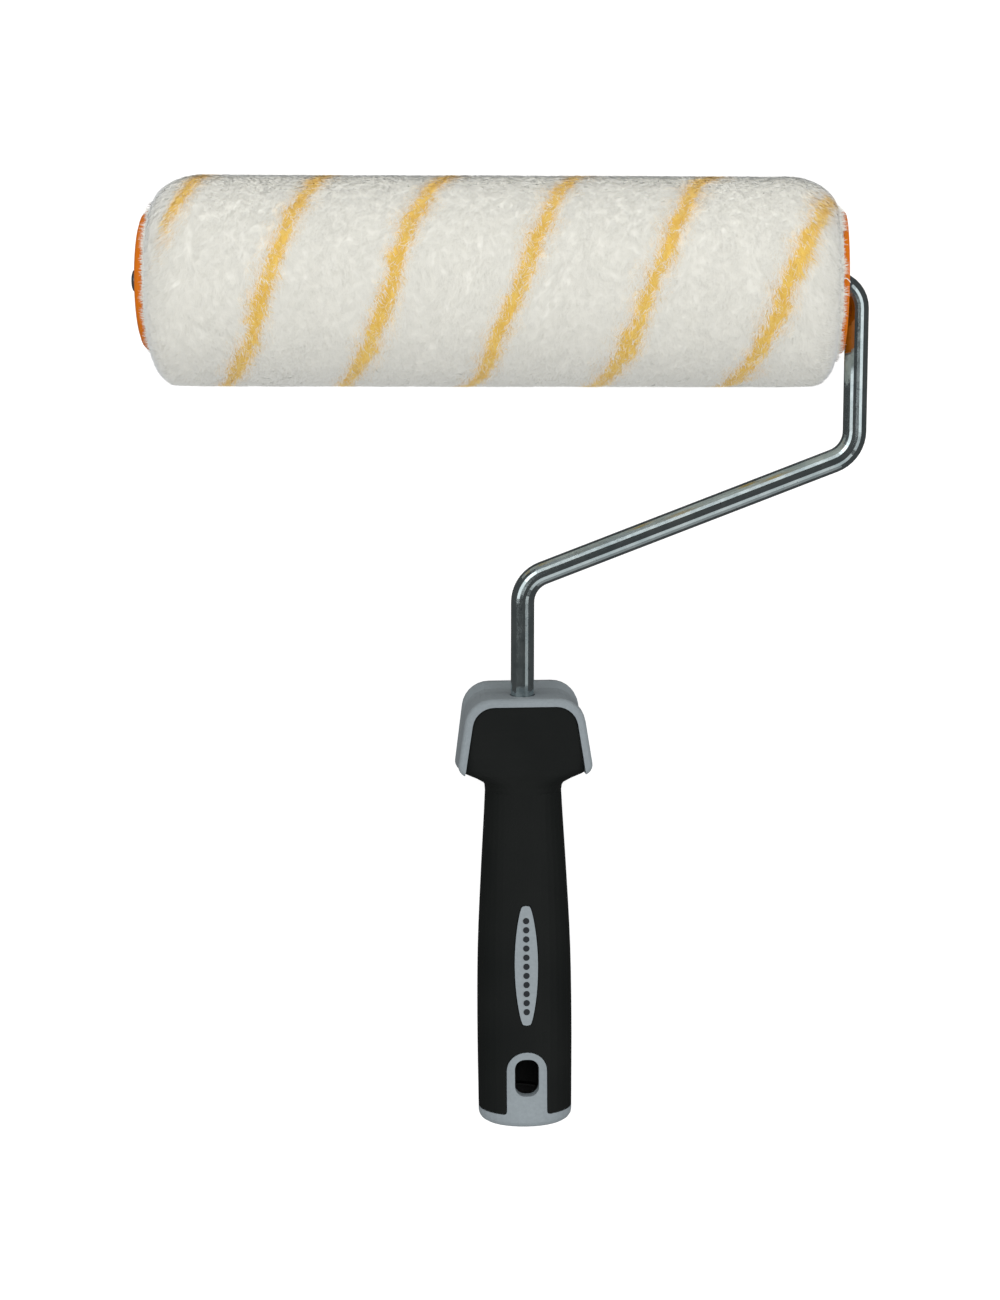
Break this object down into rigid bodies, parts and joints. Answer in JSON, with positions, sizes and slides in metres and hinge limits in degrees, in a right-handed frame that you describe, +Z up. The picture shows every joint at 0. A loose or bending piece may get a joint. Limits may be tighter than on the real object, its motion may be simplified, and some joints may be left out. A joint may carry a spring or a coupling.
{
  "type": "paint roller",
  "caption": "Paint roller: plush cover with helical stripes turning on a bent wire frame, with a T-headed soft-grip handle, a hang hole and an extension pole socket.",
  "frame": {"origin": "on the surface the tool lies on, under the centre of its bounding box", "axes": "+Z up from that surface, +Y from the handle towards the roller, +X along the roller towards the bent side of the frame"},
  "size_m": [0.2484, 0.3266, 0.0709],
  "materials": {
    "white_pile": "plush pile, cream white with golden yellow helical stripes",
    "tube_plastic": "matte",
    "orange_plastic": "satin",
    "white_acetal": "satin",
    "zinc_steel": "bright zinc plated",
    "spring_steel": "oiled",
    "grey_plastic": "fine matte",
    "black_rubber": "matte soft touch",
    "black_plastic": "satin"
  },
  "bodies": {
    "frame": {"frame_rod": "zinc_steel", "outer_thrust_washer": "zinc_steel", "inner_thrust_washer": "zinc_steel", "stop_collar": "zinc_steel", "retaining_ring": "spring_steel", "handle_core": "grey_plastic", "soft_grip": "black_rubber", "badge_plate": "grey_plastic", "pole_socket": "black_plastic"},
    "roller": {"pile_cover": "white_pile", "core_tube": "tube_plastic", "outer_end_cap": "orange_plastic", "inner_end_cap": "orange_plastic", "outer_bearing_bush": "white_acetal", "inner_bearing_bush": "white_acetal"}
  },
  "joints": [
    {"name": "roller_spin", "type": "hinge", "parent": "frame", "child": "roller", "pos_m": [-0.00177, 0.12782, 0.03547], "axis": [1, 0, 0], "continuous": true}
  ]
}
